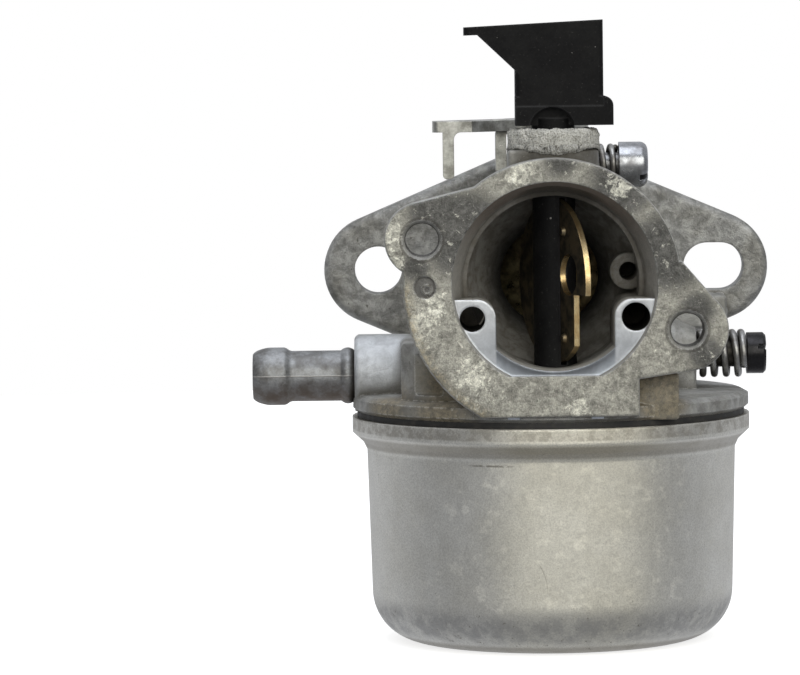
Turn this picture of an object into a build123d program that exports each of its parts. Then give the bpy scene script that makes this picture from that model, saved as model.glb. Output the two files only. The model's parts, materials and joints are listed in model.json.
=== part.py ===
from build123d import *
import math
import os

# Float-bowl carburettor for a small side-draught engine, in millimetres.
# Frame: origin at the centre of the throttle bore on the rear mounting face.
# +Z is up, +Y points out of the rear face towards the engine, +X is to the right seen from the air horn.

# ---- Stations along the bore ------------------------------------------------------------
FRONT_Y = -50.0
FRONT_FLANGE_T = 4.6
REAR_FLANGE_T = 5.0
BOWL_Y = -22.0
CHOKE_X = 0.3
CHOKE_Y = -38.5
THROTTLE_Y = -11.5
THROAT_FRONT_Y = -25.5
THROAT_REAR_Y = -21.5

# ---- Bore -------------------------------------------------------------------------------
HORN_OUTER_R = 15.0
BARREL_R = 12.5
MOUTH_R = 13.74
CHOKE_BORE_R = 11.6
THROAT_R = 6.8
THROTTLE_BORE_R = 9.5
MOUTH_FLAT_Z = -12.2
MOUTH_DEPTH = 8.0
PAD_DEPTH = 1.2
LEFT_PAD_HOLE_R = 1.7
LEFT_PAD_HOLE_X = -11.0
LEFT_PAD_HOLE_Z = -4.5
RIGHT_PAD_HOLE_R = 1.9
RIGHT_PAD_HOLE_X = 10.8
RIGHT_PAD_HOLE_Z = -4.4
AIR_BOSS_R = 2.5
AIR_BOSS_X = 10.4
AIR_BOSS_Z = 1.0
AIR_HOLE_R = 1.25
CHOKE_BORE_END_Y = -34.5
THROTTLE_BORE_START_Y = -17.0

# ---- Front air-horn flange --------------------------------------------------------------
RING_R = 16.85
SECTOR_R = 20.25
HORN_HOLE_X = 17.6
HORN_HOLE_Z = 6.2
HORN_HOLE_R = 2.2
LEFT_LUG_R = 5.0
RIGHT_LUG_R = 5.5
FLANGE_BOTTOM_Z = -17.65
FLANGE_STEP_X = 11.15
DIMPLE_R = 1.5
DIMPLE_X = -17.3
DIMPLE_Z = -0.15
COUNTERSINK = 0.45

# ---- Rear mounting flange ---------------------------------------------------------------
STUD_X = 23.8
STUD_HOLE_R = 3.375
SLOT_LENGTH = 8.6
REAR_LOBE_R = 7.7
REAR_CENTRE_R = 17.0
ORING_MEAN_R = 11.1
ORING_SECTION_R = 1.15
ORING_SEAT_R = 12.3
ORING_SEAT_DEPTH = 2.2
SPIGOT_R = 9.9
SPIGOT_DEPTH = 6.5

# ---- Bowl cover, bowl and what is in it -------------------------------------------------
COVER_R = 27.4
COVER_TOP_Z = -16.1
COVER_BOTTOM_Z = -18.5
GASKET_T = 0.8
BOWL_RIM_R = 27.5
BOWL_WALL_R = 25.5
BOWL_BASE_R = 25.0
BOWL_CORNER_R = 7.0
BOWL_BOTTOM_Z = -50.5
BOWL_SHEET = 1.0
BOWL_RECESS_R = 9.4
BOWL_RECESS_DEPTH = 4.2
PEDESTAL_R = 6.0
BOLT_R = 3.0
NOZZLE_R = 2.2
NOZZLE_TOP_Z = -5.0
NOZZLE_BOTTOM_Z = -32.5
NOZZLE_BORE_R = 1.3
JET_BOTTOM_Z = -38.5
JET_R = 0.4
PILOT_X = 10.5
PILOT_R = 1.75
PILOT_TOP_Z = -18.5
PILOT_BOTTOM_Z = -25.3

# ---- Fuel inlet, needle and float -------------------------------------------------------
BARB_Z = -13.7
BARB_TIP_X = -41.2
BARB_SHOULDER_X = -27.1
BARB_END_X = -19.5
BARB_BORE_R = 1.7
BARB_NECK_R = 3.5
BARB_BEAD_R = 4.0
BARB_SHANK_R = 3.0
INLET_BOSS_R = 5.7
NEEDLE_X = -15.5
NEEDLE_R = 1.95
NEEDLE_BORE_R = 2.0
SEAT_R = 1.5
SEAT_FLANGE_Z = -20.0
HINGE_X = -21.0
HINGE_Z = -25.5
HINGE_PIN_R = 1.0
FLOAT_DROP_DEG = 10.0
FLOAT_TOP_Z = -28.5
FLOAT_HEIGHT = 10.0
FLOAT_OUTER_R = 21.5
FLOAT_INNER_R = 9.8
TAB_TOP_Z = -26.9
POST_OFFSET_Y = 7.8

# ---- Choke ------------------------------------------------------------------------------
CHOKE_SHAFT_R = 2.9
CHOKE_SHAFT_BOTTOM_Z = -14.2
CHOKE_PLATE_R = 11.2
CHOKE_PLATE_T = 0.8
CHOKE_ANGLE_DEG = 22.0
CHOKE_CUT_U = 7.3
CHOKE_CUT_Z = -1.6
CHOKE_HOLE_R = 2.75
CHOKE_HOLE_U = -5.6
CHOKE_HOLE_Z = 1.0
CHOKE_BOSS_R = 6.1
CHOKE_BOSS_TOP_Z = 17.8
CHOKE_LEVER_BOTTOM_Z = 21.0

# ---- Throttle ---------------------------------------------------------------------------
THROTTLE_SHAFT_R = 2.5
THROTTLE_SHAFT_BOTTOM_Z = -12.0
THROTTLE_BOSS_R = 5.2
THROTTLE_BOSS_TOP_Z = 17.6
THROTTLE_PLATE_T = 1.0
THROTTLE_CLOSED_DEG = -10.0
LEVER_BOTTOM_Z = 19.9
LEVER_T = 1.5
LEVER_HUB_R = 6.0
LINK_HOLE_R = 1.0
LINK_HOLE_X = -11.6
LINK_HOLE_Y = -9.2
FLAP_LEFT_X = -7.2
FLAP_BEND_R = 2.2
PLATE_SCREW_Z = 4.5
PLATE_SCREW_R = 0.95
PLATE_GAP = 0.06
SHAFT_GAP = 0.05

# ---- Adjusting screws -------------------------------------------------------------------
IDLE_Y = -19.0
IDLE_Z = 15.0
IDLE_LUG_X0 = 0.8
IDLE_LUG_X1 = 5.8
IDLE_HEAD_X0 = 9.9
IDLE_HEAD_LEN = 4.0
IDLE_HEAD_R = 3.15
IDLE_SLOT_DEG = 35.0
IDLE_THREAD_R = 1.7
IDLE_TIP_X = -4.9
MIX_Y = -21.0
MIX_Z = -11.3
MIX_FACE_X = 20.2
MIX_HEAD_X0 = 27.3
MIX_HEAD_LEN = 2.6
MIX_HEAD_R = 2.85
MIX_SLOT_DEG = -21.5
MIX_THREAD_R = 2.4
SPRING_WIRE_R = 0.5
THREAD_GAP = 0.05

# ---- Passage plugs ----------------------------------------------------------------------
GUSSET_END_X = 25.3
BALL_Y = -7.8
BALL_Z = -6.2
BALL_R = 1.3
WELCH_Y = -15.5
WELCH_Z = 2.0
WELCH_R = 4.0
WELCH_SEAT_X = 12.4

CAST_R = 0.8
OVER = 1.0


# ---- Shape helpers ----------------------------------------------------------------------
def cylinder_x(radius, x_low, x_high, y, z):
    return Pos((x_low + x_high) / 2, y, z) * Rot(0, 90, 0) * Cylinder(radius, x_high - x_low)


def cylinder_y(radius, y_low, y_high, x=0.0, z=0.0):
    return Pos(x, (y_low + y_high) / 2, z) * Rot(90, 0, 0) * Cylinder(radius, y_high - y_low)


def cylinder_z(radius, z_low, z_high, x=0.0, y=0.0):
    return Pos(x, y, (z_low + z_high) / 2) * Cylinder(radius, z_high - z_low)


def block(x_low, x_high, y_low, y_high, z_low, z_high):
    centre = Pos((x_low + x_high) / 2, (y_low + y_high) / 2, (z_low + z_high) / 2)
    return centre * Box(x_high - x_low, y_high - y_low, z_high - z_low)


def cone_y(front_r, rear_r, front_y, rear_y):
    """A cone along the bore: the Rot turns the cone's top towards -Y."""
    return Pos(0, (front_y + rear_y) / 2, 0) * Rot(90, 0, 0) * Cone(rear_r, front_r, rear_y - front_y)


def cone_x(left_r, right_r, x_low, x_high, y, z):
    return Pos((x_low + x_high) / 2, y, z) * Rot(0, 90, 0) * Cone(left_r, right_r, x_high - x_low)


def turned_z(profile, x=0.0, y=0.0):
    """Revolve a closed (radius, height) outline about a vertical axis at x, y."""
    face = make_face(Plane.XZ * Polyline(*profile, close=True))
    return Pos(x, y, 0) * revolve(face, Axis.Z)


def turned_x(profile, y, z):
    """Revolve a closed (x, radius) outline about a line along X at y, z."""
    face = make_face(Plane.XZ * Polyline(*profile, close=True))
    return Pos(0, y, z) * revolve(face, Axis.X)


def plate_y(sketch, y_low, y_high):
    """Extrude an (x, z) sketch from y_high forward to y_low."""
    return extrude(Plane.XZ.offset(-y_high) * sketch, y_high - y_low)


def polygon(*points):
    return make_face(Polyline(*points, close=True))


def cast_block(x_low, x_high, y_low, y_high, z_low, z_high, radius=CAST_R):
    """A block with all its edges rounded, as a die casting's are."""
    solid = block(x_low, x_high, y_low, y_high, z_low, z_high)
    return fillet(solid.edges(), radius)


def round_top(solid, radius):
    return fillet(solid.edges().group_by(Axis.Z)[-1], radius)


def round_ends(solid, axis, low_r, high_r):
    """Round the outline's edges on the lowest and the highest face along axis."""
    solid = fillet(solid.edges().group_by(axis)[0], low_r)
    return fillet(solid.edges().group_by(axis)[-1], high_r)


def ring_z(outer_r, inner_r, z_low, z_high, x=0.0, y=0.0):
    return cylinder_z(outer_r, z_low, z_high, x, y) - cylinder_z(inner_r, z_low - OVER, z_high + OVER, x, y)


def about_choke(shape):
    return Pos(CHOKE_X, CHOKE_Y, 0) * shape


def about_throttle(shape):
    return Pos(0, THROTTLE_Y, 0) * shape


# ---- Body casting -----------------------------------------------------------------------
def front_flange_outline():
    ring = Circle(RING_R)
    sector_window = polygon((0, 4), (-20.4, 2.2), (-24, 2.0), (-24, FLANGE_BOTTOM_Z), (0, FLANGE_BOTTOM_Z))
    sector = Circle(SECTOR_R) & sector_window
    foot = polygon((-5, 0), (FLANGE_STEP_X, 0), (FLANGE_STEP_X, FLANGE_BOTTOM_Z), (-5, FLANGE_BOTTOM_Z))
    left_lug = Pos(-HORN_HOLE_X, HORN_HOLE_Z) * Circle(LEFT_LUG_R)
    left_web = polygon((-18.9, 11.05), (-10.3, 13.2), (0, 0), (-20.2, 2.2), (-HORN_HOLE_X, HORN_HOLE_Z))
    right_lug = Pos(HORN_HOLE_X, -HORN_HOLE_Z) * Circle(RIGHT_LUG_R)
    lug_centre = (HORN_HOLE_X, -HORN_HOLE_Z)
    right_web = polygon((10.5, -12.8), (18.3, -11.65), lug_centre, (21.2, -2.0), (16.9, 3.0), (0, 0))
    return ring + sector + foot + left_lug + left_web + right_lug + right_web


def rear_flange_outline():
    """Two lobes joined to the centre circle by tangent lines."""
    slope = math.asin((REAR_CENTRE_R - REAR_LOBE_R) / STUD_X)
    lift, shift = math.cos(slope), math.sin(slope)
    corners = []
    for side_x, side_z in ((1, 1), (1, -1), (-1, -1), (-1, 1)):
        centre_point = (side_x * REAR_CENTRE_R * shift, side_z * REAR_CENTRE_R * lift)
        lobe_point = (side_x * (STUD_X + REAR_LOBE_R * shift), side_z * REAR_LOBE_R * lift)
        pair = [centre_point, lobe_point] if side_x * side_z > 0 else [lobe_point, centre_point]
        corners += pair
    outline = polygon(*corners) + Circle(REAR_CENTRE_R)
    for side_x in (-1, 1):
        outline += Pos(side_x * STUD_X, 0) * Circle(REAR_LOBE_R)
    return outline


def body_outside():
    flange_back_y = FRONT_Y + FRONT_FLANGE_T
    front = plate_y(front_flange_outline(), FRONT_Y, flange_back_y)
    front = round_ends(front, Axis.Y, 0.3, CAST_R)
    rear = plate_y(rear_flange_outline(), -REAR_FLANGE_T, 0)
    rear = round_ends(rear, Axis.Y, 1.2, 0.4)
    horn = cylinder_y(HORN_OUTER_R, flange_back_y - OVER, -28.0)
    horn += cone_y(HORN_OUTER_R + 1.2, HORN_OUTER_R, flange_back_y, flange_back_y + 1.2)
    neck = cone_y(HORN_OUTER_R, BARREL_R, -28.0, -22.0)
    barrel = cylinder_y(BARREL_R, -22.0, -REAR_FLANGE_T + OVER)
    barrel += cone_y(BARREL_R, BARREL_R + 1.7, -6.7, -REAR_FLANGE_T)
    web = block(-11.0, 11.0, FRONT_Y + 2.0, -4.0, COVER_BOTTOM_Z + 0.5, -8.0)
    casting = front + rear + horn + neck + barrel + web
    casting += bowl_cover()
    casting += top_bosses()
    casting += left_side()
    casting += right_side()
    casting += under_cover()
    return casting


def bowl_cover():
    chamfer_in = 0.9
    profile = (
        (0, COVER_BOTTOM_Z),
        (COVER_R - 0.6, COVER_BOTTOM_Z),
        (COVER_R, COVER_BOTTOM_Z + 0.5),
        (COVER_R, COVER_TOP_Z - 0.5),
        (COVER_R - chamfer_in, COVER_TOP_Z),
        (COVER_R - 5.0, COVER_TOP_Z + 0.2),
        (0, COVER_TOP_Z + 0.2),
    )
    return turned_z(profile, 0, BOWL_Y)


def top_bosses():
    choke = round_top(cylinder_z(CHOKE_BOSS_R, 6.0, CHOKE_BOSS_TOP_Z, CHOKE_X, CHOKE_Y), 0.5)
    choke_flat = cast_block(-5.9, -2.0, -43.6, -34.0, 8.0, CHOKE_BOSS_TOP_Z, 0.5)
    throttle = round_top(cylinder_z(THROTTLE_BOSS_R, 6.0, THROTTLE_BOSS_TOP_Z, 0, THROTTLE_Y), 0.6)
    lug_head = round_ends(cylinder_x(3.6, IDLE_LUG_X0, IDLE_LUG_X1, IDLE_Y, IDLE_Z), Axis.X, 0.5, 0.5)
    lug_leg = block(IDLE_LUG_X0 + 0.5, IDLE_LUG_X1 - 0.5, IDLE_Y - 3.6, IDLE_Y + 3.6, 6.0, IDLE_Z)
    spine = cast_block(-2.5, 2.5, CHOKE_Y, THROTTLE_Y, 6.0, 14.2)
    return choke + choke_flat + throttle + lug_head + lug_leg + spine


def left_side():
    boss = cylinder_x(INLET_BOSS_R, BARB_SHOULDER_X, -12.0, BOWL_Y, BARB_Z)
    boss = fillet(boss.edges().group_by(Axis.X)[0], CAST_R)
    wall_top_z = BARB_Z + INLET_BOSS_R - 0.2
    front_wall = cast_block(-20.6, -8.0, -42.0, BOWL_Y + 2.0, COVER_BOTTOM_Z + 0.5, wall_top_z)
    front_wall -= cast_block(-19.2, -15.0, -45.0, -39.4, COVER_TOP_Z + 0.9, -9.6, 0.4)
    rear_wall = cast_block(-19.0, -8.0, BOWL_Y - 2.0, -11.0, COVER_BOTTOM_Z + 0.5, -9.5)
    shelf_round = cylinder_z(25.6, COVER_BOTTOM_Z + 0.5, 0, 0, BOWL_Y)
    above_gasket = block(-40, 0, -60, 10, COVER_BOTTOM_Z, 20)
    return (boss & above_gasket) + (front_wall & shelf_round) + rear_wall


def right_side():
    pad = cast_block(8.0, 16.6, -46.0, -24.0, COVER_BOTTOM_Z + 0.02, -12.2, 0.45)
    column = cast_block(8.0, MIX_FACE_X - 0.1, MIX_Y - 5.0, MIX_Y + 5.0, COVER_BOTTOM_Z + 0.5, MIX_Z)
    boss = cylinder_x(5.0, 6.0, 17.2, MIX_Y, MIX_Z)
    nose = cone_x(5.0, 3.6, 17.2, MIX_FACE_X, MIX_Y, MIX_Z)
    slot_gusset = cast_block(9.0, GUSSET_END_X, -11.0, -4.0, -8.6, -3.8, 0.6)
    welch_boss = cylinder_x(5.4, 6.0, 13.6, WELCH_Y, WELCH_Z)
    welch_boss = fillet(welch_boss.edges().group_by(Axis.X)[-1], 0.5)
    return pad + column + boss + nose + slot_gusset + welch_boss


def under_cover():
    pedestal = cylinder_z(PEDESTAL_R, BOWL_BOTTOM_Z + BOWL_RECESS_DEPTH + BOWL_SHEET, -16.5, 0, BOWL_Y)
    tower = cylinder_z(3.5, -25.2, -16.5, NEEDLE_X, BOWL_Y)
    pilot_boss = cylinder_z(3.2, -24.5, -16.5, PILOT_X, BOWL_Y)
    posts = Part()
    for side in (-1, 1):
        post_y = BOWL_Y + side * POST_OFFSET_Y
        post_slab = block(HINGE_X - 1.8, HINGE_X + 1.8, post_y - 1.0, post_y + 1.0, HINGE_Z, -16.5)
        posts += post_slab + cylinder_y(1.8, post_y - 1.0, post_y + 1.0, HINGE_X, HINGE_Z)
    return pedestal + tower + pilot_boss + posts


def bore_cut():
    mouth_cone = cone_y(MOUTH_R, 12.2, FRONT_Y, FRONT_Y + MOUTH_DEPTH)
    mouth_lip = cylinder_y(MOUTH_R, FRONT_Y - OVER, FRONT_Y)
    above_flat = block(-20, 20, FRONT_Y - 2 * OVER, FRONT_Y + MOUTH_DEPTH + OVER, MOUTH_FLAT_Z, 20)
    mouth = (mouth_cone + mouth_lip) & above_flat
    # Two raised pads stay standing in the lower corners of the mouth.
    pad_y = FRONT_Y + PAD_DEPTH
    left_pad = corner_pad(-1, LEFT_PAD_HOLE_X, LEFT_PAD_HOLE_Z, 7.85, -1.9, pad_y, CHOKE_Y - 1.4)
    right_pad = corner_pad(1, RIGHT_PAD_HOLE_X, RIGHT_PAD_HOLE_Z, 7.95, -2.0, pad_y, CHOKE_BORE_END_Y + 2.0)
    air_boss = cylinder_y(AIR_BOSS_R, CHOKE_Y + 3.2, CHOKE_BORE_END_Y + 6.0, AIR_BOSS_X, AIR_BOSS_Z)
    choke_bore = cylinder_y(CHOKE_BORE_R, FRONT_Y - OVER, CHOKE_BORE_END_Y)
    entry = cone_y(CHOKE_BORE_R, THROAT_R, CHOKE_BORE_END_Y, THROAT_FRONT_Y)
    throat = cylinder_y(THROAT_R, THROAT_FRONT_Y - 0.01, THROAT_REAR_Y + 0.01)
    spread = cone_y(THROAT_R, THROTTLE_BORE_R, THROAT_REAR_Y, THROTTLE_BORE_START_Y)
    outlet = cylinder_y(THROTTLE_BORE_R, THROTTLE_BORE_START_Y, OVER)
    outlet += cylinder_y(SPIGOT_R, -SPIGOT_DEPTH, OVER) + cylinder_y(ORING_SEAT_R, -ORING_SEAT_DEPTH, OVER)
    ledge = block(-8.5, 8.5, pad_y, FRONT_Y + MOUTH_DEPTH, -20, -7.0)
    front_part = (mouth - ledge + choke_bore + entry) - left_pad - right_pad - air_boss
    return front_part + throat + spread + outlet


def corner_pad(side, hole_x, hole_z, inner_x, top_z, y_low, y_high):
    """A pad that rounds over its hole at the top and runs straight down to the mouth's flat."""
    top_r = top_z - hole_z
    inner_edge_x = side * inner_x
    outer_x = side * 16.0
    slab = block(min(inner_edge_x, outer_x), max(inner_edge_x, outer_x), y_low, y_high, -20, hole_z)
    crown = cylinder_y(top_r, y_low, y_high, inner_edge_x + side * top_r, hole_z)
    fill = block(min(hole_x, outer_x), max(hole_x, outer_x), y_low, y_high, hole_z - 1, top_z)
    return slab + crown + fill


def shaft_and_jet_holes():
    cuts = [
        cylinder_z(CHOKE_SHAFT_R + SHAFT_GAP, CHOKE_SHAFT_BOTTOM_Z - 0.3, 30, CHOKE_X, CHOKE_Y),
        cylinder_z(THROTTLE_SHAFT_R + SHAFT_GAP, THROTTLE_SHAFT_BOTTOM_Z - 0.3, 30, 0, THROTTLE_Y),
        cylinder_z(NOZZLE_R, JET_BOTTOM_Z, 0, 0, BOWL_Y),
        cylinder_z(BOLT_R, -60, JET_BOTTOM_Z, 0, BOWL_Y),
        cylinder_z(NEEDLE_BORE_R, -30, SEAT_FLANGE_Z, NEEDLE_X, BOWL_Y),
        cylinder_z(SEAT_R, -22, BARB_Z, NEEDLE_X, BOWL_Y),
        cylinder_z(PILOT_R, -30, PILOT_TOP_Z, PILOT_X, BOWL_Y),
        cylinder_y(HINGE_PIN_R, BOWL_Y - 10, BOWL_Y + 10, HINGE_X, HINGE_Z),
        cylinder_x(BARB_SHANK_R, BARB_SHOULDER_X - OVER, BARB_END_X, BOWL_Y, BARB_Z),
        cylinder_x(BARB_BEAD_R + 0.1, BARB_SHOULDER_X - 3.0, BARB_SHOULDER_X, BOWL_Y, BARB_Z),
        cylinder_x(1.5, BARB_END_X - OVER, NEEDLE_X + 0.5, BOWL_Y, BARB_Z),
        cylinder_x(MIX_THREAD_R + THREAD_GAP, 13.0, 30.0, MIX_Y, MIX_Z),
        cylinder_x(1.0, 5.0, 13.5, MIX_Y, MIX_Z),
        cylinder_x(IDLE_THREAD_R + THREAD_GAP, -6.0, 8.0, IDLE_Y, IDLE_Z),
        cylinder_x(WELCH_R, WELCH_SEAT_X, 20.0, WELCH_Y, WELCH_Z),
        cylinder_x(2.9, 11.0, WELCH_SEAT_X + 0.1, WELCH_Y, WELCH_Z),
    ]
    return cuts


def flange_holes():
    cuts = [
        cylinder_y(HORN_HOLE_R, FRONT_Y - OVER, FRONT_Y + 14.0, -HORN_HOLE_X, HORN_HOLE_Z),
        cylinder_y(HORN_HOLE_R, FRONT_Y - OVER, FRONT_Y + 14.0, HORN_HOLE_X, -HORN_HOLE_Z),
        cylinder_y(STUD_HOLE_R, -20.0, OVER, -STUD_X, 0),
        plate_y(Pos(STUD_X, 0) * SlotOverall(SLOT_LENGTH, 2 * STUD_HOLE_R), -20.0, OVER),
        cylinder_y(LEFT_PAD_HOLE_R, FRONT_Y, FRONT_Y + 14.0, LEFT_PAD_HOLE_X, LEFT_PAD_HOLE_Z),
        cylinder_y(RIGHT_PAD_HOLE_R, FRONT_Y, FRONT_Y + 16.0, RIGHT_PAD_HOLE_X, RIGHT_PAD_HOLE_Z),
        cylinder_y(AIR_HOLE_R, CHOKE_Y, CHOKE_BORE_END_Y + 10.0, AIR_BOSS_X, AIR_BOSS_Z),
        ring_mark(),
        cylinder_x(BALL_R, 18.0, 26.0, BALL_Y, BALL_Z),
    ]
    for side in (-1, 1):
        countersink = cone_y(HORN_HOLE_R + COUNTERSINK, HORN_HOLE_R, FRONT_Y, FRONT_Y + COUNTERSINK)
        cuts.append(Pos(side * HORN_HOLE_X, 0, -side * HORN_HOLE_Z) * countersink)
    return cuts


def ring_mark():
    """The round mark in the left lug: a shallow dimple with a small raised ring off its centre."""
    dimple = cylinder_y(DIMPLE_R, FRONT_Y - OVER, FRONT_Y + 0.4, DIMPLE_X, DIMPLE_Z)
    ring_x, ring_z_at = DIMPLE_X + 0.3, DIMPLE_Z - 0.3
    outside = cylinder_y(0.75, FRONT_Y + 0.22, FRONT_Y + OVER, ring_x, ring_z_at)
    return dimple - (outside - cylinder_y(0.42, FRONT_Y, FRONT_Y + 2, ring_x, ring_z_at))


def carburetor_body():
    casting = body_outside() - bore_cut()
    for cut in shaft_and_jet_holes() + flange_holes():
        casting -= cut
    return casting


# ---- Bowl, gasket and bolt --------------------------------------------------------------
def bowl_profile(inset, to_axis_x, to_axis_z):
    """Half the drawn bowl's section, moved inwards by inset, then closed by way of (to_axis_x, to_axis_z)."""
    rim_z = COVER_BOTTOM_Z - GASKET_T
    corner_r = BOWL_CORNER_R - inset
    corner_x = BOWL_BASE_R - BOWL_CORNER_R
    corner_z = BOWL_BOTTOM_Z + BOWL_CORNER_R
    reach = corner_r * math.sqrt(0.5)
    base_z = BOWL_BOTTOM_Z + inset
    recess_z = base_z + BOWL_RECESS_DEPTH
    side = Polyline(
        (to_axis_x, to_axis_z),
        (BOWL_RIM_R - inset, to_axis_z),
        (BOWL_RIM_R - inset, rim_z - 2.1),
        (BOWL_WALL_R + 0.5 - inset, rim_z - 3.5),
        (BOWL_WALL_R - inset, rim_z - 4.6),
        (corner_x + corner_r, corner_z),
    )
    corner = ThreePointArc(
        (corner_x + corner_r, corner_z),
        (corner_x + reach, corner_z - reach),
        (corner_x, corner_z - corner_r),
    )
    base = Polyline(
        (corner_x, corner_z - corner_r),
        (BOWL_RECESS_R + 1.2 + inset, base_z),
        (BOWL_RECESS_R + inset, base_z + 1.2),
        (BOWL_RECESS_R + inset, recess_z - 0.8),
        (BOWL_RECESS_R - 0.8 + inset, recess_z),
        (to_axis_x, recess_z),
        (to_axis_x, to_axis_z),
    )
    return Pos(0, BOWL_Y, 0) * revolve(make_face(Plane.XZ * (side + corner + base)), Axis.Z)


def float_bowl():
    rim_z = COVER_BOTTOM_Z - GASKET_T
    shell = bowl_profile(0.0, 0, rim_z) - bowl_profile(BOWL_SHEET, 0, rim_z + OVER)
    return shell - cylinder_z(BOLT_R + 0.3, -60, -40, 0, BOWL_Y)


def bowl_gasket():
    return ring_z(26.8, 25.2, COVER_BOTTOM_Z - GASKET_T, COVER_BOTTOM_Z, 0, BOWL_Y)


def bowl_bolt_washer():
    top_z = BOWL_BOTTOM_Z + BOWL_RECESS_DEPTH
    return ring_z(5.6, BOLT_R + 0.1, top_z - 0.8, top_z, 0, BOWL_Y)


def bowl_bolt():
    head_top_z = BOWL_BOTTOM_Z + BOWL_RECESS_DEPTH - 0.8
    head = extrude(Plane.XY.offset(head_top_z - 3.2) * RegularPolygon(5.0, 6, major_radius=False), 3.2)
    low_z = head_top_z - 3.2
    head &= turned_z(((0, -60), (5.0, -60), (5.0, low_z), (5.9, low_z + 0.7), (5.9, -40), (0, -40)))
    stud = cylinder_z(BOLT_R, head_top_z - 0.5, JET_BOTTOM_Z - 1.0)
    fuel_slot = cylinder_z(0.9, head_top_z + 1.5, JET_BOTTOM_Z)
    return Pos(0, BOWL_Y, 0) * (head + stud - fuel_slot)


# ---- Jets -------------------------------------------------------------------------------
def main_nozzle():
    tube = cylinder_z(NOZZLE_R, NOZZLE_BOTTOM_Z, NOZZLE_TOP_Z) - cylinder_z(NOZZLE_BORE_R, -40, 0)
    for height in range(4):
        for turn in (0, 90):
            hole_z = -16.0 - 3.0 * height
            tube -= Pos(0, 0, hole_z) * Rot(0, 90, turn) * Cylinder(0.35, 10)
    return Pos(0, BOWL_Y, 0) * tube


def main_jet():
    plug = cylinder_z(NOZZLE_R, JET_BOTTOM_Z, NOZZLE_BOTTOM_Z) - cylinder_z(JET_R, -50, -20)
    plug -= cylinder_z(NOZZLE_BORE_R, NOZZLE_BOTTOM_Z - 2.5, -20)
    plug -= block(-3, 3, -0.4, 0.4, JET_BOTTOM_Z - OVER, JET_BOTTOM_Z + 1.2)
    return Pos(0, BOWL_Y, 0) * plug


def pilot_jet():
    plug = cylinder_z(PILOT_R, PILOT_BOTTOM_Z, PILOT_TOP_Z) - cylinder_z(0.3, -30, -10)
    plug -= block(-3, 3, -0.35, 0.35, PILOT_BOTTOM_Z - OVER, PILOT_BOTTOM_Z + 1.0)
    return Pos(PILOT_X, BOWL_Y, 0) * plug


# ---- Fuel inlet, needle and float -------------------------------------------------------
def fuel_inlet_barb():
    """A hose barb with a swollen bead at its tip and a rounded collar against the boss."""
    bead_x = (BARB_TIP_X + 2.4, BARB_TIP_X + 4.2)
    neck_x = (BARB_TIP_X + 5.5, BARB_SHOULDER_X - 1.9)
    corner = (BARB_TIP_X + 0.25, 3.35)
    rise = Spline(corner, (BARB_TIP_X + 1.3, 3.82), (bead_x[0], BARB_BEAD_R), tangents=((1, 0.8), (1, 0)))
    bead = Line((bead_x[0], BARB_BEAD_R), (bead_x[1], BARB_BEAD_R))
    fall = Spline((bead_x[1], BARB_BEAD_R), (neck_x[0], BARB_NECK_R), tangents=((1, 0), (1, 0)))
    neck = Line((neck_x[0], BARB_NECK_R), (neck_x[1], BARB_NECK_R))
    collar_top = (neck_x[1] + 0.95, BARB_BEAD_R - 0.1)
    collar = Spline((neck_x[1], BARB_NECK_R), collar_top, (BARB_SHOULDER_X, BARB_NECK_R))
    closing = Polyline(
        (BARB_SHOULDER_X, BARB_NECK_R),
        (BARB_SHOULDER_X, BARB_SHANK_R),
        (BARB_END_X, BARB_SHANK_R),
        (BARB_END_X, BARB_BORE_R),
        (BARB_TIP_X, BARB_BORE_R),
        (BARB_TIP_X, 3.1),
        corner,
    )
    face = make_face(Plane.XZ * (rise + bead + fall + neck + collar + closing))
    return Pos(0, BOWL_Y, BARB_Z) * revolve(face, Axis.X)


def inlet_seat():
    seat = cylinder_z(SEAT_R, SEAT_FLANGE_Z, SEAT_FLANGE_Z + 1.6, NEEDLE_X, BOWL_Y)
    flange = cylinder_z(NEEDLE_BORE_R, SEAT_FLANGE_Z - 0.6, SEAT_FLANGE_Z, NEEDLE_X, BOWL_Y)
    return seat + flange - cylinder_z(0.8, -25, -15, NEEDLE_X, BOWL_Y)


def inlet_needle():
    """Held 0.96 below its seat while the float hangs down; four flats let fuel pass."""
    drop = needle_drop()
    bottom_z = TAB_TOP_Z + 0.3 - drop
    top_z = -21.9 - drop
    stem = cylinder_z(NEEDLE_R, bottom_z, top_z, NEEDLE_X, BOWL_Y)
    stem &= Pos(NEEDLE_X, BOWL_Y, 0) * Rot(0, 0, 45) * Box(3.2, 3.2, 100)
    tip = Pos(NEEDLE_X, BOWL_Y, top_z + 0.6) * Cone(1.4, 0.5, 1.2)
    groove = ring_z(3, 0.9, bottom_z + 0.6, bottom_z + 1.2, NEEDLE_X, BOWL_Y)
    return stem + tip - groove


def needle_drop():
    return (NEEDLE_X - HINGE_X) * math.sin(math.radians(FLOAT_DROP_DEG))


def needle_clip():
    """A wire hook that hangs on the needle's groove and passes under the float's tab."""
    wire_r = 0.25
    top_z = TAB_TOP_Z + 1.2 - needle_drop()
    bottom_z = TAB_TOP_Z - 2.4 - needle_drop()
    left_x, right_x = NEEDLE_X - 2.4, NEEDLE_X + 2.4
    clip = cylinder_z(wire_r, bottom_z, top_z, left_x, BOWL_Y)
    clip += cylinder_z(wire_r, bottom_z, top_z, right_x, BOWL_Y)
    clip += cylinder_x(wire_r, left_x, right_x, BOWL_Y, bottom_z)
    clip += cylinder_x(wire_r, left_x, NEEDLE_X - 0.95, BOWL_Y, top_z)
    clip += cylinder_x(wire_r, NEEDLE_X + 0.95, right_x, BOWL_Y, top_z)
    for corner_x, corner_z in ((left_x, bottom_z), (right_x, bottom_z), (left_x, top_z), (right_x, top_z)):
        clip += Pos(corner_x, BOWL_Y, corner_z) * Sphere(wire_r)
    return clip


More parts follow.
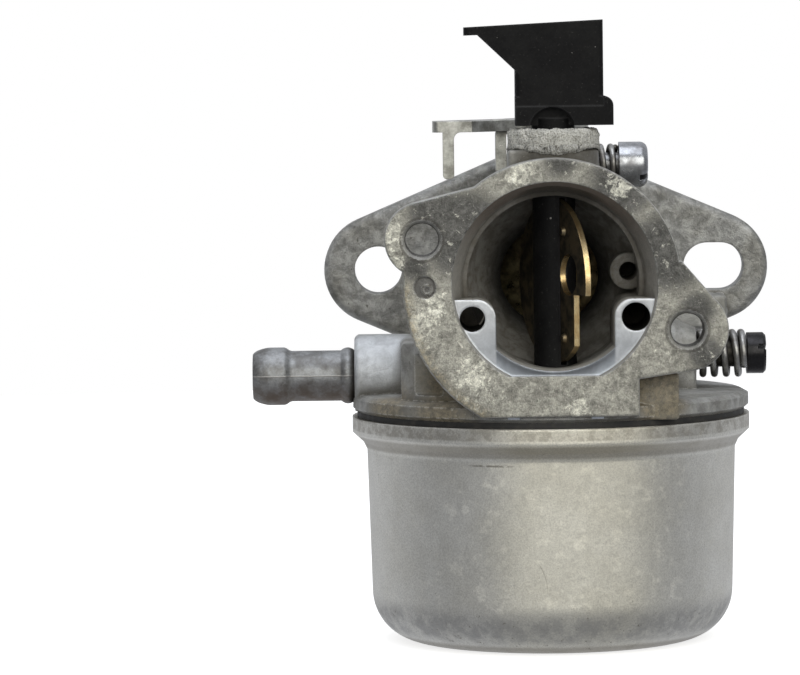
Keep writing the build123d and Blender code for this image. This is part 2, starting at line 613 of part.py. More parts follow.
def float_hinge_pin():
    return cylinder_y(HINGE_PIN_R, BOWL_Y - 9.2, BOWL_Y + 9.2, HINGE_X, HINGE_Z)


def bowl_float():
    """Modelled level with its needle shut, then swung down about the hinge pin to where it hangs dry."""
    ring = ring_z(FLOAT_OUTER_R, FLOAT_INNER_R, FLOAT_TOP_Z - FLOAT_HEIGHT, FLOAT_TOP_Z, 0, BOWL_Y)
    arms = Part()
    for side in (-1, 1):
        arm_y = BOWL_Y + side * 5.3
        arms += block(HINGE_X, -12.0, arm_y - 1.0, arm_y + 1.0, FLOAT_TOP_Z - 1.0, HINGE_Z + 1.2)
        arms += cylinder_y(2.0, arm_y - 1.0, arm_y + 1.0, HINGE_X, HINGE_Z)
    tab = block(NEEDLE_X - 1.0, NEEDLE_X + 1.0, BOWL_Y - 5.0, BOWL_Y + 5.0, TAB_TOP_Z - 1.0, TAB_TOP_Z)
    clip_room = block(NEEDLE_X - 3.4, NEEDLE_X + 3.4, BOWL_Y - 0.9, BOWL_Y + 0.9, FLOAT_TOP_Z - 3.0, -26)
    level = ring + arms - clip_room + tab
    level -= cylinder_y(HINGE_PIN_R + SHAFT_GAP, BOWL_Y - 10, BOWL_Y + 10, HINGE_X, HINGE_Z)
    hinge = Pos(HINGE_X, BOWL_Y, HINGE_Z)
    return hinge * Rot(0, FLOAT_DROP_DEG, 0) * Pos(-HINGE_X, -BOWL_Y, -HINGE_Z) * level


# ---- Choke ------------------------------------------------------------------------------
def choke_direction(shape):
    """Turn a shape built with the plate along Y to the plate's angle at rest."""
    return about_choke(Rot(0, 0, CHOKE_ANGLE_DEG) * shape)


def choke_plate():
    disc = cylinder_x(CHOKE_PLATE_R, -CHOKE_PLATE_T / 2, CHOKE_PLATE_T / 2, 0, 0)
    disc -= block(-OVER, OVER, -20, -CHOKE_CUT_U, -20, CHOKE_CUT_Z)
    disc -= cylinder_x(CHOKE_HOLE_R, -OVER, OVER, CHOKE_HOLE_U, CHOKE_HOLE_Z)
    for bump_z in (6.8, -7.6):
        disc += cone_x(0.45, 0.9, -CHOKE_PLATE_T / 2 - 0.45, 0, -4.1, bump_z)
    return choke_direction(disc)


def choke_lever_shaft():
    bottom = CHOKE_LEVER_BOTTOM_Z
    shaft = cylinder_z(CHOKE_SHAFT_R, CHOKE_SHAFT_BOTTOM_Z, bottom + OVER)
    slot_half = CHOKE_PLATE_T / 2 + 0.03
    slot = block(-slot_half, slot_half, -5, 5, -CHOKE_PLATE_R - 0.1, CHOKE_PLATE_R + 0.1)
    shaft -= Rot(0, 0, CHOKE_ANGLE_DEG) * slot
    tower_face = polygon(
        (-5.1, bottom),
        (6.75, bottom),
        (6.75, 35.15),
        (-2.2, 34.75),
        (-11.95, 34.3),
        (-11.95, 33.2),
        (-10.1, 33.25),
        (-5.1, 28.5),
    )
    tower = extrude(Plane.XZ.offset(3.2) * tower_face, -6.4)
    tower = fillet(tower.edges().filter_by(Axis.Z), 0.8)
    foot = block(-5.1, 8.05, -3.4, 3.2, bottom, 24.9)
    foot_corner = foot.edges().filter_by(Axis.Y).group_by(Axis.X)[-1].group_by(Axis.Z)[-1]
    foot = fillet(foot_corner, 1.3)
    foot -= block(-6, 6.75, -4.5, -3.2, 23.6, 26)
    tower = tower + foot
    tower -= cylinder_y(3.1, -4.2, -2.0, -0.2, bottom - 0.6)
    tower -= cast_block(-3.9, 5.6, 0.9, 5.0, 23.0, 33.2, 0.5)
    return about_choke(tower + shaft)


def choke_foam_seal():
    return ring_z(6.3, CHOKE_SHAFT_R + 0.35, CHOKE_BOSS_TOP_Z, CHOKE_LEVER_BOTTOM_Z - 0.3, CHOKE_X, CHOKE_Y)


# ---- Throttle ---------------------------------------------------------------------------
def throttle_plate():
    slab = Rot(0, 0, THROTTLE_CLOSED_DEG) * Box(30, THROTTLE_PLATE_T, 30)
    disc = about_throttle(slab) & cylinder_y(THROTTLE_BORE_R - PLATE_GAP, -20, 0)
    for side in (-1, 1):
        screw_hole = cylinder_y(PLATE_SCREW_R + 0.05, -5, 5, 0, side * PLATE_SCREW_Z)
        disc -= about_throttle(Rot(0, 0, THROTTLE_CLOSED_DEG) * screw_hole)
    return disc


def throttle_plate_screws():
    screws = Part()
    for side in (-1, 1):
        screw_z = side * PLATE_SCREW_Z
        stem = cylinder_y(PLATE_SCREW_R, -1.9, 2.3, 0, screw_z)
        head = cylinder_y(1.8, -3.3, -1.8, 0, screw_z)
        head -= block(-3, 3, -3.4, -2.7, screw_z - 0.3, screw_z + 0.3)
        screws += stem + head
    return about_throttle(Rot(0, 0, THROTTLE_CLOSED_DEG) * screws)


def throttle_shaft():
    shaft = cylinder_z(THROTTLE_SHAFT_R, THROTTLE_SHAFT_BOTTOM_Z, LEVER_BOTTOM_Z)
    shaft += cylinder_z(1.8, LEVER_BOTTOM_Z - OVER, LEVER_BOTTOM_Z + LEVER_T)
    shaft += Pos(0, 0, LEVER_BOTTOM_Z + LEVER_T + 0.25) * Cone(2.5, 1.9, 0.5)
    half_t = THROTTLE_PLATE_T / 2 + 0.03
    slot = block(-5, 5, -half_t, half_t, -THROTTLE_BORE_R - 0.1, THROTTLE_BORE_R + 0.1)
    flats = Part()
    for side in (-1, 1):
        flats += cylinder_y(PLATE_SCREW_R, -4, 4, 0, side * PLATE_SCREW_Z)
    seat_flat = block(-5, 5, -5, -1.8, -THROTTLE_BORE_R + 1.0, THROTTLE_BORE_R - 1.0)
    shaft -= Rot(0, 0, THROTTLE_CLOSED_DEG) * (slot + flats + seat_flat)
    return about_throttle(shaft)


def throttle_lever():
    """A bent sheet lever: hub, long arm with a bent-down link tab, and a stop flap for the idle screw."""
    top = LEVER_BOTTOM_Z + LEVER_T
    arm_outline = polygon((-0.5, 5.9), (-15.95, -9.0), (-15.95, -14.5), (-10.5, -14.5), (2.0, -5.6))
    arm_outline = fillet(arm_outline.vertices().group_by(Axis.X)[0], 0.9)
    flap_root = polygon((-4.5, 3.0), (-6.2, -4.0), (-6.2, -10.0), (0, -9.0), (4.0, -4.4))
    plan = Circle(LEVER_HUB_R) + arm_outline + flap_root
    sheet = extrude(Plane.XY.offset(LEVER_BOTTOM_Z) * plan, LEVER_T)
    arm = extrude(Plane.XY.offset(LEVER_BOTTOM_Z) * arm_outline, LEVER_T)
    # The flap is bent down from the arm, so the sheet is cut back to the bend's start beside it.
    bend_end_x, bend_z = FLAP_LEFT_X + FLAP_BEND_R, top - FLAP_BEND_R
    beside_flap = block(-12, bend_end_x, -10.0, -5.0, LEVER_BOTTOM_Z - OVER, top + OVER)
    sheet = (sheet - beside_flap) + (arm & block(-20, 5, -5.4, 10, 0, 40))
    sheet += arm & block(-20, FLAP_LEFT_X - 0.7, -20, 10, 0, 40)
    bend = block(FLAP_LEFT_X, bend_end_x, -10.0, -5.0, bend_z, top)
    bend &= cylinder_y(FLAP_BEND_R, -10.0, -5.0, bend_end_x, bend_z)
    bend -= cylinder_y(FLAP_BEND_R - LEVER_T, -20, 0, bend_end_x, bend_z)
    flap = block(FLAP_LEFT_X, FLAP_LEFT_X + LEVER_T, -10.0, -5.0, IDLE_Z - 0.6, bend_z)
    flap_base = block(bend_end_x - 0.1, -3.0, -10.0, -5.0, LEVER_BOTTOM_Z, top)
    lever = sheet + link_tab() + flap_base + bend + flap
    lever -= cylinder_z(LINK_HOLE_R, 0, 40, LINK_HOLE_X, LINK_HOLE_Y)
    lever -= cylinder_z(1.8, 0, 40)
    return about_throttle(lever)


def link_tab():
    """The tab bent down from the arm's tip: rounded at its foot, with a small bend radius under the arm."""
    left_x, right_x, low_y, high_y = -14.55, -13.0, -14.5, -11.2
    tab = block(left_x, right_x, low_y, high_y, 13.45, LEVER_BOTTOM_Z + 0.5)
    tab = fillet(tab.edges().filter_by(Axis.Y).group_by(Axis.Z)[0], 0.55)
    corner = block(right_x - 0.1, right_x + 1.0, low_y, high_y, LEVER_BOTTOM_Z - 1.0, LEVER_BOTTOM_Z + 0.1)
    corner -= cylinder_y(1.0, low_y - OVER, high_y + OVER, right_x + 1.0, LEVER_BOTTOM_Z - 1.0)
    return tab + corner


def throttle_shaft_seal():
    low, high = THROTTLE_BOSS_TOP_Z, LEVER_BOTTOM_Z - 0.3
    return ring_z(4.8, THROTTLE_SHAFT_R + 0.3, low, high, 0, THROTTLE_Y)


# ---- Adjusting screws and springs -------------------------------------------------------
def spring_x(mean_r, x_low, x_high, turns, y, z):
    """A compression spring along X; its wire is one round section swept up a helix."""
    coil = Helix((x_high - x_low) / turns, x_high - x_low, mean_r, center=(0, 0, 0), direction=(0, 0, 1))
    start = Plane(origin=coil @ 0, z_dir=coil % 0)
    wire = sweep(start * Circle(SPRING_WIRE_R), path=coil, is_frenet=True)
    return Pos(x_low, y, z) * Rot(0, 90, 0) * wire


def idle_speed_screw():
    head_end = IDLE_HEAD_X0 + IDLE_HEAD_LEN
    head = cylinder_x(IDLE_HEAD_R, IDLE_HEAD_X0, head_end, 0, 0)
    head = fillet(head.edges().filter_by(GeomType.CIRCLE).group_by(Axis.X)[-1], 1.1)
    slot = Rot(IDLE_SLOT_DEG, 0, 0) * block(head_end - 1.2, head_end + OVER, -5, 5, -0.45, 0.45)
    thread = cylinder_x(IDLE_THREAD_R, IDLE_TIP_X + 0.8, IDLE_HEAD_X0 + 0.5, 0, 0)
    tip = cone_x(1.0, IDLE_THREAD_R, IDLE_TIP_X, IDLE_TIP_X + 0.8, 0, 0)
    return Pos(0, IDLE_Y, IDLE_Z) * (head - slot + thread + tip)


def idle_speed_spring():
    return spring_x(2.45, IDLE_LUG_X1 + SPRING_WIRE_R, IDLE_HEAD_X0 - SPRING_WIRE_R, 2.25, IDLE_Y, IDLE_Z)


def idle_mixture_screw():
    head_end = MIX_HEAD_X0 + MIX_HEAD_LEN
    head = cylinder_x(MIX_HEAD_R, MIX_HEAD_X0, head_end, 0, 0)
    head = chamfer(head.edges().filter_by(GeomType.CIRCLE).group_by(Axis.X)[-1], 0.35)
    slot = Rot(MIX_SLOT_DEG, 0, 0) * block(head_end - 1.1, head_end + OVER, -5, 5, -0.35, 0.35)
    stem = cylinder_x(1.9, MIX_FACE_X - 1.0, MIX_HEAD_X0 + 0.5, 0, 0)
    thread = cylinder_x(MIX_THREAD_R, 14.6, MIX_FACE_X - 1.0, 0, 0)
    needle = cone_x(0.35, 0.9, 6.6, 14.6, 0, 0)
    return Pos(0, MIX_Y, MIX_Z) * (head - slot + stem + thread + needle)


def idle_mixture_spring():
    return spring_x(2.85, MIX_FACE_X + SPRING_WIRE_R, MIX_HEAD_X0 - SPRING_WIRE_R, 4.5, MIX_Y, MIX_Z)


# ---- Plugs and the mounting seal --------------------------------------------------------
def welch_plug():
    disc = cylinder_x(WELCH_R - 0.02, WELCH_SEAT_X, WELCH_SEAT_X + 0.8, WELCH_Y, WELCH_Z)
    return disc - cylinder_x(2.2, WELCH_SEAT_X + 0.5, WELCH_SEAT_X + 1.6, WELCH_Y, WELCH_Z)


def passage_ball_plug():
    return Pos(GUSSET_END_X - 1.0, BALL_Y, BALL_Z) * Sphere(BALL_R - 0.02)


def manifold_o_ring():
    ring = Torus(ORING_MEAN_R, ORING_SECTION_R)
    return Pos(0, -ORING_SEAT_DEPTH + ORING_SECTION_R, 0) * Rot(90, 0, 0) * ring


NODES = {
    "carburetor_body": carburetor_body,
    "float_bowl": float_bowl,
    "bowl_gasket": bowl_gasket,
    "bowl_bolt": bowl_bolt,
    "bowl_bolt_washer": bowl_bolt_washer,
    "main_nozzle": main_nozzle,
    "main_jet": main_jet,
    "pilot_jet": pilot_jet,
    "fuel_inlet_barb": fuel_inlet_barb,
    "inlet_seat": inlet_seat,
    "inlet_needle": inlet_needle,
    "needle_clip": needle_clip,
    "float_hinge_pin": float_hinge_pin,
    "bowl_float": bowl_float,
    "choke_plate": choke_plate,
    "choke_lever_shaft": choke_lever_shaft,
    "choke_foam_seal": choke_foam_seal,
    "throttle_plate": throttle_plate,
    "throttle_plate_screws": throttle_plate_screws,
    "throttle_shaft": throttle_shaft,
    "throttle_lever": throttle_lever,
    "throttle_shaft_seal": throttle_shaft_seal,
    "idle_speed_screw": idle_speed_screw,
    "idle_speed_spring": idle_speed_spring,
    "idle_mixture_screw": idle_mixture_screw,
    "idle_mixture_spring": idle_mixture_spring,
    "welch_plug": welch_plug,
    "passage_ball_plug": passage_ball_plug,
    "manifold_o_ring": manifold_o_ring,
}

os.makedirs("parts", exist_ok=True)
for node, make in NODES.items():
    export_step(make(), f"parts/{node}.step")
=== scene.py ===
"""Looks for a small float-bowl carburettor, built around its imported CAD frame. Metres throughout."""

import json
import math

import bpy
from mathutils import Matrix, Vector

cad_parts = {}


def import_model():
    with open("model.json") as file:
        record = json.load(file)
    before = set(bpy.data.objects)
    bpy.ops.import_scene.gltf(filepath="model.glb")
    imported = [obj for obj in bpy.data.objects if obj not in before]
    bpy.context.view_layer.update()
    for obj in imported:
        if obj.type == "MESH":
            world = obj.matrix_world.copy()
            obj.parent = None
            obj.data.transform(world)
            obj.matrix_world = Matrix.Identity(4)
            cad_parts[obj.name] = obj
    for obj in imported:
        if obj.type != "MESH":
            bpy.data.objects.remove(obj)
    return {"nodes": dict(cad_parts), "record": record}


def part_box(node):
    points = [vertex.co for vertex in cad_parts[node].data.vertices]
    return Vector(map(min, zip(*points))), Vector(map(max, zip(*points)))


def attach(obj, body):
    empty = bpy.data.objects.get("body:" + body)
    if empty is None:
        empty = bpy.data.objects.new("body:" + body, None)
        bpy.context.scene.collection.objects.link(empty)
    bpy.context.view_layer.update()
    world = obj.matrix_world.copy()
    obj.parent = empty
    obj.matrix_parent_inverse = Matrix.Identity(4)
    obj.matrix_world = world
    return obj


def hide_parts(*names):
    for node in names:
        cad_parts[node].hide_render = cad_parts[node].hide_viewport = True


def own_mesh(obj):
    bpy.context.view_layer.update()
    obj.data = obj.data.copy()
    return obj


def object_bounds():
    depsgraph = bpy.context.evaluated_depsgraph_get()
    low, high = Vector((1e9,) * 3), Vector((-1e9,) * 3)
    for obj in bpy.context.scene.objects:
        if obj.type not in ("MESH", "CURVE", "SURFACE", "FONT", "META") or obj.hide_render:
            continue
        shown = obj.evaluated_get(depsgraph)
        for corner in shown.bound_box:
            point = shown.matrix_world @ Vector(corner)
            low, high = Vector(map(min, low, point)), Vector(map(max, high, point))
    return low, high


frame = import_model()
cad_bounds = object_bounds()

MM = 0.001
FLOOR_Z = cad_bounds[0][2]
ROOM_FRONT, ROOM_BACK, ROOM_TOP, ROOM_GROUND = 0.24, 0.52, 0.24, 0.10

# Places on the casting that its finish has to find, in millimetres.
FRONT_Y = -50
LUG_HOLES = ((-17.6, 6.2), (17.6, -6.2))
LEFT_PAD_HOLE, RIGHT_PAD_HOLE = (-11.0, 0, -4.5), (10.8, 0, -4.4)
DIMPLE = (-17.3, -49.6, -0.15)
INLET_BOSS = (-24, -26, -10.5)
CHOKE_BOSS = (1.2, -43.0, 15.5)
CHOKE_AXIS = (0.3, -38.5, 0)
CHOKE_PLATE_DEG = 22


# ---- Node helpers -----------------------------------------------------------------------
class Finish:
    """One procedural material: a Principled shader fed by a few shared node recipes in millimetres."""

    def __init__(self, name, metallic=0.0, roughness=0.5, **sockets):
        self.material = bpy.data.materials.new(name)
        self.material.use_nodes = True
        self.tree = self.material.node_tree
        self.shader = self.tree.nodes["Principled BSDF"]
        self.set("Metallic", metallic)
        self.set("Roughness", roughness)
        for socket, value in sockets.items():
            self.set(socket.replace("_", " "), value)
        coords = self.node("ShaderNodeTexCoord").outputs["Object"]
        self.mm = self.vector("SCALE", coords, Scale=1 / MM)
        split = self.node("ShaderNodeSeparateXYZ")
        self.link(self.mm, split.inputs[0])
        self.x, self.y, self.z = split.outputs
        normal = self.node("ShaderNodeSeparateXYZ")
        self.link(self.node("ShaderNodeNewGeometry").outputs["True Normal"], normal.inputs[0])
        self.nx, self.ny, self.nz = normal.outputs

    def node(self, kind, **settings):
        made = self.tree.nodes.new(kind)
        for key, value in settings.items():
            setattr(made, key, value)
        return made

    def link(self, value, socket):
        """Feed a socket with another node's output, a number or a colour."""
        if isinstance(value, bpy.types.NodeSocket):
            self.tree.links.new(value, socket)
        elif isinstance(value, (tuple, list)) and len(value) == 3 and len(socket.default_value) == 4:
            socket.default_value = (*value, 1.0)
        else:
            socket.default_value = value

    def set(self, socket, value):
        self.link(value, self.shader.inputs[socket])

    def vector(self, operation, a, b=None, Scale=None):
        made = self.node("ShaderNodeVectorMath", operation=operation)
        self.link(a, made.inputs[0])
        if b is not None:
            self.link(b, made.inputs[1])
        if Scale is not None:
            made.inputs["Scale"].default_value = Scale
        return made.outputs[0]

    def math(self, operation, a, b=0.0, clamp=False):
        made = self.node("ShaderNodeMath", operation=operation, use_clamp=clamp)
        self.link(a, made.inputs[0])
        self.link(b, made.inputs[1])
        return made.outputs[0]

    def remap(self, value, low, high, out_low=0.0, out_high=1.0):
        """Carry value from low..high to out_low..out_high with soft ends, and hold it outside them."""
        made = self.node("ShaderNodeMapRange", interpolation_type="SMOOTHSTEP")
        for slot_name, number in zip(("Value", "From Min", "From Max", "To Min", "To Max"),
                                     (value, low, high, out_low, out_high)):
            self.link(number, made.inputs[slot_name])
        return made.outputs[0]

    def band(self, value, low, high, soft=0.4):
        """1 between low and high, falling to 0 over soft outside them."""
        rise = self.remap(value, low - soft, low)
        fall = self.remap(value, high, high + soft, 1.0, 0.0)
        return self.product(rise, fall)

    def invert(self, value):
        return self.math("SUBTRACT", 1.0, value)

    def product(self, *values):
        total = values[0]
        for value in values[1:]:
            total = self.math("MULTIPLY", total, value)
        return total

    def either(self, *values):
        total = values[0]
        for value in values[1:]:
            total = self.math("MAXIMUM", total, value)
        return total

    def mix(self, factor, a, b, blend="MIX"):
        made = self.node("ShaderNodeMix", data_type="RGBA", blend_type=blend, clamp_factor=True)
        self.link(factor, made.inputs[0])
        self.link(a, made.inputs[6])
        self.link(b, made.inputs[7])
        return made.outputs[2]

    def shade(self, colour, amount):
        """Multiply a colour by a grey amount."""
        grey = self.node("ShaderNodeCombineColor")
        for channel in grey.inputs:
            self.link(amount, channel)
        return self.mix(1.0, colour, grey.outputs[0], "MULTIPLY")

    def noise(self, scale, detail=3.0, rough=0.55, distortion=0.0):
        """Noise with scale features per millimetre, about 0.5 on average."""
        made = self.node("ShaderNodeTexNoise")
        self.link(self.mm, made.inputs["Vector"])
        made.inputs["Scale"].default_value = scale
        made.inputs["Detail"].default_value = detail
        made.inputs["Roughness"].default_value = rough
        made.inputs["Distortion"].default_value = distortion
        return made.outputs["Fac"]

    def cells(self, scale):
        """Distance to the middle of the nearest cell, with scale cells per millimetre."""
        made = self.node("ShaderNodeTexVoronoi")
        self.link(self.mm, made.inputs["Vector"])
        made.inputs["Scale"].default_value = scale
        return made.outputs["Distance"]

    def specks(self, scale, size, keep, seed):
        """Round specks: keep (0..1) is the share of the cells that hold one."""
        at = self.vector("ADD", self.mm, (seed, seed * 0.7, -seed))
        made = self.node("ShaderNodeTexVoronoi")
        self.link(at, made.inputs["Vector"])
        made.inputs["Scale"].default_value = scale
        dot = self.remap(made.outputs["Distance"], size * 0.6, size, 1.0, 0.0)
        pick = self.node("ShaderNodeSeparateColor")
        self.link(made.outputs["Color"], pick.inputs[0])
        return self.product(dot, self.remap(pick.outputs[0], 1 - keep, 1 - keep + 0.01))

    def radius(self, centre, axis):
        """Distance in millimetres from a line along an axis through centre."""
        flat = {"x": (0, 1, 1), "y": (1, 0, 1), "z": (1, 1, 0)}[axis]
        away = self.vector("MULTIPLY", self.vector("SUBTRACT", self.mm, centre), flat)
        made = self.node("ShaderNodeVectorMath", operation="LENGTH")
        self.link(away, made.inputs[0])
        return made.outputs["Value"]

    def spot(self, centre, inner, outer):
        """1 within inner millimetres of a point, falling to 0 at outer."""
        made = self.node("ShaderNodeVectorMath", operation="DISTANCE")
        self.link(self.mm, made.inputs[0])
        self.link(centre, made.inputs[1])
        return self.remap(made.outputs["Value"], inner, outer, 1.0, 0.0)

    def spots(self, y, *places):
        """The strongest of several spots at one depth, each given as x, z, inner and outer."""
        return self.either(*[self.spot((x, y, z), inner, outer) for x, z, inner, outer in places])

    def hollow(self, distance=3.0, low=0.45, high=0.95):
        """1 in creases and corners, 0 in the open."""
        made = self.node("ShaderNodeAmbientOcclusion", samples=8)
        made.inputs["Distance"].default_value = distance * MM
        return self.remap(made.outputs["AO"], low, high, 1.0, 0.0)

    def soften(self, radius, height=None, strength=0.5, distance=0.05):
        """Round the mesh's edges in the shading, with a height on top as bump."""
        bevel = self.node("ShaderNodeBevel", samples=4)
        bevel.inputs["Radius"].default_value = radius * MM
        normal = bevel.outputs[0]
        if height is not None:
            bump = self.node("ShaderNodeBump")
            bump.inputs["Strength"].default_value = strength
            bump.inputs["Distance"].default_value = distance * MM
            self.link(height, bump.inputs["Height"])
            self.link(normal, bump.inputs["Normal"])
            normal = bump.outputs[0]
        self.set("Normal", normal)

    def edges(self, radius, low=0.0, high=0.12):
        """1 along convex and concave edges of the mesh within radius, 0 on faces."""
        bevel = self.node("ShaderNodeBevel", samples=4)
        bevel.inputs["Radius"].default_value = radius * MM
        true_normal = self.node("ShaderNodeNewGeometry").outputs["Normal"]
        dot = self.node("ShaderNodeVectorMath", operation="DOT_PRODUCT")
        self.link(bevel.outputs[0], dot.inputs[0])
        self.link(true_normal, dot.inputs[1])
        return self.remap(self.invert(dot.outputs["Value"]), low, high)


# ---- Finishes ---------------------------------------------------------------------------
def cast_body_finish():
    """Oxidised die casting: a stained front face, bright pads, a fuel-browned bore and dirty corners, with
    painted shade in corners, holes and the bore and a painted highlight on the inlet boss.
    """
    f = Finish("die_cast_alloy", metallic=0.8, roughness=0.55)
    cloud = f.noise(0.13, 6.0, 0.68, distortion=0.5)
    mottle = f.noise(0.55, 7.0, 0.7, distortion=0.4)
    grit = f.noise(1.3, 9.0, 0.8)
    fine = f.noise(4.0, 6.0, 0.75)
    from_bore = f.radius((0, 0, 0), "y")
    brown = f.shade((0.235, 0.20, 0.135), f.remap(grit, 0.36, 0.64, 0.50, 1.45))

    # Plain cast walls. The rear flange is smoother and painted darker as shade, and the inlet boss is painted
    # lighter as a highlight.
    colour = f.mix(f.remap(cloud, 0.40, 0.60), (0.34, 0.335, 0.31), (0.47, 0.47, 0.455))
    colour = f.shade(colour, f.remap(mottle, 0.30, 0.70, 0.74, 1.15))
    # Painted shade: the rear flange is darker.
    colour = f.mix(f.remap(f.y, -7.0, -5.5), colour, f.shade(colour, f.remap(mottle, 0.38, 0.62, 0.72, 0.94)))
    # Painted highlight: the inlet boss is lighter and cooler.
    boss = f.product(f.spot(INLET_BOSS, 3.0, 7.0), f.remap(f.x, -18.6, -19.4))
    colour = f.mix(boss, colour, f.shade((0.66, 0.68, 0.70), f.remap(mottle, 0.3, 0.7, 0.80, 1.12)))

    # The ground front face: dark smoky stains, pale crust along its outline and a brown lower left edge.
    facing = f.remap(f.ny, -0.6, -0.9)
    front_face = f.product(f.remap(f.y, -49.6, -49.85), facing)
    stains = f.spots(FRONT_Y, (-12.0, 7.0, 2.5, 8.5), (15.5, 4.5, 2.0, 8.0), (-16, 10.5, 0.5, 6.0),
                     (9, 13.5, 1.0, 7.0), (-18.5, 2.6, 0.0, 3.5), (1, 16.5, 0.0, 4.0), (20, -9.5, 0.0, 4.0),
                     (19.0, -3.4, 0.0, 4.0))
    ragged = f.product(f.math("ADD", mottle, grit), 0.5)
    smoke = f.remap(f.math("ADD", f.product(stains, 0.34), ragged), 0.54, 0.76)
    face = f.mix(smoke, (0.36, 0.352, 0.312), (0.135, 0.133, 0.125))
    pale = f.spots(FRONT_Y, (-21.8, 7.5, 0.3, 3.4), (-4.5, 15.3, 0.3, 3.6), (-16.0, -2.6, 0.3, 2.8),
                   (-18, -5, 0.3, 4.0), (-11, -12, 0.0, 4.5), (3, -16.5, 0.0, 2.6), (8.5, 13.0, 0.0, 2.8),
                   (-21.3, 3.0, 0.3, 2.4))
    scab = f.noise(0.9, 8.0, 0.78, distortion=0.6)
    crusty = f.math("ADD", f.product(pale, 0.16), scab)
    face = f.mix(f.product(f.remap(crusty, 0.57, 0.64), 0.85), face, (0.70, 0.69, 0.61))
    outline = f.product(f.remap(from_bore, 18.3, 20.0), f.remap(f.x, -3.0, -9.0), f.remap(f.z, 1.5, -1.0),
                        f.remap(grit, 0.38, 0.58))
    face = f.mix(f.product(outline, 0.75), face, brown)
    glints = f.remap(f.noise(2.9, 4.0, 0.7), 0.665, 0.70)
    face = f.mix(f.product(glints, 0.7), face, (0.80, 0.80, 0.76))
    face = f.shade(face, f.remap(mottle, 0.36, 0.64, 0.74, 1.26))
    face = f.shade(face, f.remap(grit, 0.37, 0.63, 0.66, 1.36))
    face = f.shade(face, f.remap(fine, 0.37, 0.63, 0.84, 1.16))
    colour = f.mix(front_face, colour, face)

    # The two screw holes have painted shade on their walls and a dirty ring around them, and the round dimple
    # in the left lug is darkened.
    # Painted shade on the hole walls; the outer rings are dirt.
    holes = f.either(*[f.band(f.radius((x, 0, z), "y"), 1.9, 2.25, 0.12) for x, z in LUG_HOLES])
    rings = f.either(*[f.band(f.radius((x, 0, z), "y"), 2.72, 2.95, 0.2) for x, z in LUG_HOLES])
    lug_dirt_and_shade = f.either(holes, f.product(rings, f.remap(mottle, 0.35, 0.6, 0.3, 0.8)))
    lug_dirt_and_shade = f.product(lug_dirt_and_shade, f.remap(f.y, -40.0, -42.0))
    pad_hole_shade = f.either(f.remap(f.radius(LEFT_PAD_HOLE, "y"), 1.85, 1.72),
                         f.remap(f.radius(RIGHT_PAD_HOLE, "y"), 2.05, 1.92))
    dimple = f.product(f.spot(DIMPLE, 1.35, 1.6), 0.72)
    colour = f.mix(f.product(f.either(lug_dirt_and_shade, dimple), 0.85), colour, (0.07, 0.066, 0.06))

    # Bright machined pads, painted darker towards the bottom as shade, with a duller shelf between them that
    # darkens towards the bore, and the browned mouth and bore behind.
    pads = f.product(f.band(f.y, -48.95, -48.65, 0.05), facing)
    shelf = f.product(f.remap(f.x, -8.1, -7.7), f.remap(f.x, 8.2, 7.8))
    shelf_colour = f.shade((0.50, 0.54, 0.60), f.remap(from_bore, 11.6, 13.8, 0.25, 1.05))
    # Painted shade: the pads darken towards the bottom.
    pad_colour = f.mix(f.remap(f.z, -3.5, -9.0), (0.70, 0.72, 0.745), (0.52, 0.545, 0.58))
    pad_colour = f.mix(shelf, pad_colour, shelf_colour)
    pad_edge = f.edges(0.3, 0.01, 0.08)
    pad_colour = f.mix(f.product(pad_edge, 0.5), pad_colour, (0.84, 0.86, 0.88))
    colour = f.mix(pads, colour, f.shade(pad_colour, f.remap(mottle, 0.36, 0.64, 0.84, 1.06)))
    not_pads = f.invert(pads)
    outward = f.math("ADD", f.product(f.nx, f.x), f.product(f.nz, f.z))
    steps = f.product(f.remap(outward, 3.0, 1.5), f.remap(f.y, -24.0, -25.0))
    inward = f.either(f.remap(outward, -0.5, -2.0), steps)
    inside = f.product(f.remap(from_bore, 14.2, 13.75), f.band(f.y, -49.6, -1.0, 0.2), not_pads, inward)
    bore = f.mix(f.remap(mottle, 0.35, 0.65), (0.20, 0.185, 0.16), (0.36, 0.35, 0.325))
    lip = f.mix(f.remap(f.z, 3.0, 11.0), (0.42, 0.405, 0.37), (0.26, 0.22, 0.185))
    bore = f.mix(f.remap(f.y, -42.5, -44.5), bore, f.shade(lip, f.remap(grit, 0.34, 0.66, 0.8, 1.15)))
    # Painted shade: the bore darkens deeper in, towards the throat.
    bore = f.mix(f.remap(f.y, -31.0, -25.0), bore, f.shade(bore, 0.10))
    colour = f.mix(inside, colour, bore)
    # Painted shade: the pad holes are near black inside.
    colour = f.mix(f.product(pad_hole_shade, f.remap(f.y, -48.7, -48.4)), colour, (0.012, 0.011, 0.01))

